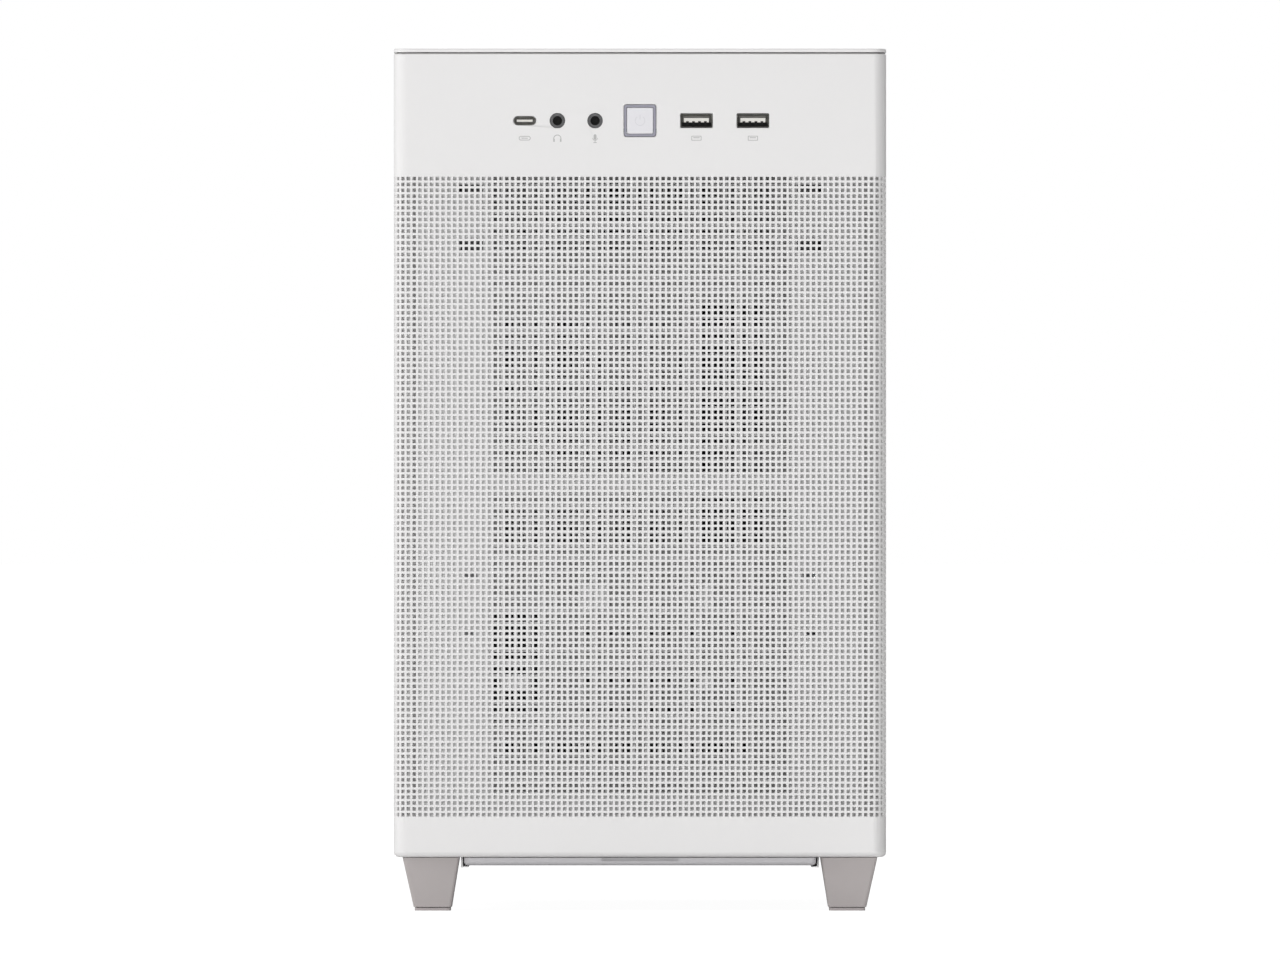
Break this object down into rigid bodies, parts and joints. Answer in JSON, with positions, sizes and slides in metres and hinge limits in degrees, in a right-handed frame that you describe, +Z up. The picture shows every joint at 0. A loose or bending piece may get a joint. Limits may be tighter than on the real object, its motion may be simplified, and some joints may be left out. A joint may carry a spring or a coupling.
{
  "type": "desktop computer tower",
  "caption": "Upright desktop computer case with perforated steel panels, front ports, tapered feet and working parts inside.",
  "frame": {"origin": "middle of the footprint, on the surface that the feet stand on", "axes": "+Z up, -Y out of the front panel, +X to the right as seen from the front"},
  "size_m": [0.205, 0.46, 0.359],
  "materials": {
    "panel_white": "satin white powder coat",
    "chassis_white": "satin white powder coat",
    "shroud_grey": "light grey powder coat",
    "foot_grey": "warm grey moulded plastic",
    "rubber_grey": "soft rubber",
    "filter_grey": "light grey moulded plastic",
    "filter_cloth": "fine nylon mesh",
    "port_metal": "dark plated steel",
    "jack_plastic": "black moulded plastic",
    "ring_plastic": "clear grey light guide",
    "button_plastic": "satin white plastic",
    "board_black": "black solder mask",
    "board_green": "green solder mask",
    "fan_black": "black moulded plastic",
    "rotor_black": "black moulded plastic",
    "bare_steel": "bare plated steel",
    "aluminium": "plain extruded aluminium",
    "supply_black": "black powder coat",
    "memory_white": "white coated heat spreader",
    "cable_black": "black sleeving"
  },
  "bodies": {
    "case": {"chassis_floor": "chassis_white", "chassis_front_wall": "chassis_white", "chassis_rear_wall": "chassis_white", "motherboard_tray": "chassis_white", "top_rail_left": "chassis_white", "top_rail_right": "chassis_white", "psu_bracket": "chassis_white", "supply_shroud": "shroud_grey", "slot_cover_1": "chassis_white", "slot_cover_2": "chassis_white", "slot_cover_3": "chassis_white", "slot_cover_4": "chassis_white", "foot_1": "foot_grey", "foot_2": "foot_grey", "foot_3": "foot_grey", "foot_4": "foot_grey", "foot_pad_1": "rubber_grey", "foot_pad_2": "rubber_grey", "foot_pad_3": "rubber_grey", "foot_pad_4": "rubber_grey", "power_button_ring": "ring_plastic", "power_switch": "jack_plastic", "front_io_board": "board_green", "usb_a_port_1": "port_metal", "usb_a_port_2": "port_metal", "usb_c_port": "port_metal", "headphone_jack": "jack_plastic", "microphone_jack": "jack_plastic", "rear_fan_frame": "fan_black", "cpu_fan_frame": "fan_black", "psu_fan_frame": "fan_black", "motherboard": "board_black", "io_shield": "bare_steel", "processor": "bare_steel", "cpu_heatsink": "aluminium", "memory_module_1": "memory_white", "memory_module_2": "memory_white", "m2_drive": "board_black", "psu_housing": "supply_black", "psu_fan_guard": "bare_steel", "power_inlet": "jack_plastic", "inlet_lead": "cable_black", "main_power_cable": "cable_black", "cpu_power_cable": "cable_black", "front_io_cable": "cable_black"},
    "power_button": {"power_button": "button_plastic"},
    "front_panel": {"front_panel": "panel_white"},
    "top_panel": {"top_panel": "panel_white"},
    "left_side_panel": {"left_side_panel": "panel_white"},
    "right_side_panel": {"right_side_panel": "panel_white"},
    "dust_filter": {"dust_filter_frame": "filter_grey", "dust_filter_mesh": "filter_cloth"},
    "rear_fan_rotor": {"rear_fan_rotor": "rotor_black"},
    "cpu_fan_rotor": {"cpu_fan_rotor": "rotor_black"},
    "psu_fan_rotor": {"psu_fan_rotor": "rotor_black"},
    "psu_switch": {"psu_switch": "jack_plastic"}
  },
  "joints": [
    {"name": "power_button_press", "type": "slide", "parent": "case", "child": "power_button", "axis": [0, 1, 0], "range_m": [0, 0.0012], "stiffness_N_per_m": 1500, "springref_m": -0.0004},
    {"name": "front_panel_pull", "type": "slide", "parent": "case", "child": "front_panel", "axis": [0, -1, 0], "range_m": [0, 0.06]},
    {"name": "top_panel_lift", "type": "slide", "parent": "case", "child": "top_panel", "axis": [0, 0, 1], "range_m": [0, 0.06]},
    {"name": "left_side_panel_pull", "type": "slide", "parent": "case", "child": "left_side_panel", "axis": [-1, 0, 0], "range_m": [0, 0.08]},
    {"name": "right_side_panel_pull", "type": "slide", "parent": "case", "child": "right_side_panel", "axis": [1, 0, 0], "range_m": [0, 0.08]},
    {"name": "dust_filter_slide", "type": "slide", "parent": "case", "child": "dust_filter", "axis": [0, -1, 0], "range_m": [0, 0.31]},
    {"name": "rear_fan_spin", "type": "hinge", "parent": "case", "child": "rear_fan_rotor", "pos_m": [-0.0325, 0.2095, 0.265], "axis": [0, 1, 0], "continuous": true},
    {"name": "cpu_fan_spin", "type": "hinge", "parent": "case", "child": "cpu_fan_rotor", "pos_m": [0.018, 0.115, 0.262], "axis": [1, 0, 0], "continuous": true},
    {"name": "psu_fan_spin", "type": "hinge", "parent": "case", "child": "psu_fan_rotor", "pos_m": [0, -0.1886, 0.243], "axis": [0, 1, 0], "continuous": true},
    {"name": "psu_switch_rock", "type": "hinge", "parent": "case", "child": "psu_switch", "pos_m": [0.01, -0.162, 0.1765], "axis": [1, 0, 0], "range_deg": [-12, 0]}
  ]
}
